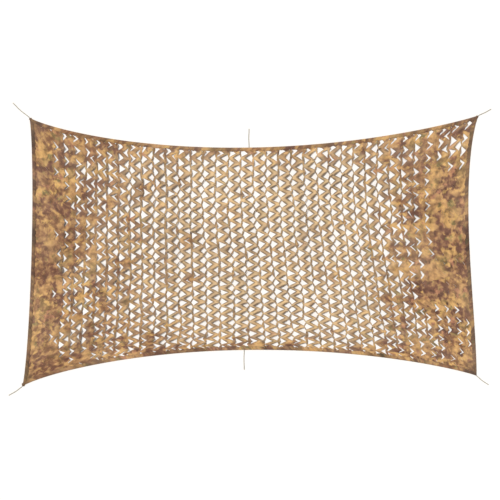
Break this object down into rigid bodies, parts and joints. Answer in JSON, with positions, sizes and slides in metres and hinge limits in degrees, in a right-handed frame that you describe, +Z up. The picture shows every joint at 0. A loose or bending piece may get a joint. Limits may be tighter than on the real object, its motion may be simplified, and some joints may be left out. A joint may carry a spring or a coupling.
{
  "type": "camouflage netting",
  "caption": "Oblong leaf-cut camouflage net in desert tones, hemmed all round, its long edges drawn in, with short guy cords at corners and mid edges.",
  "frame": {"origin": "on the surface that the net lies on, under the middle of the cloth without its guy cords", "axes": "+X along the net's long side, +Y across it, +Z up, out of the cloth's face"},
  "size_m": [3.3302, 2.0215, 0.0275],
  "materials": {
    "net_cloth": "matte",
    "guy_cord": "matte"
  },
  "bodies": {
    "root": {"net_panel": "net_cloth", "cord_top_left": "guy_cord", "cord_top_right": "guy_cord", "cord_bottom_left": "guy_cord", "cord_bottom_right": "guy_cord", "cord_top_middle": "guy_cord", "cord_bottom_middle": "guy_cord"}
  },
  "joints": []
}
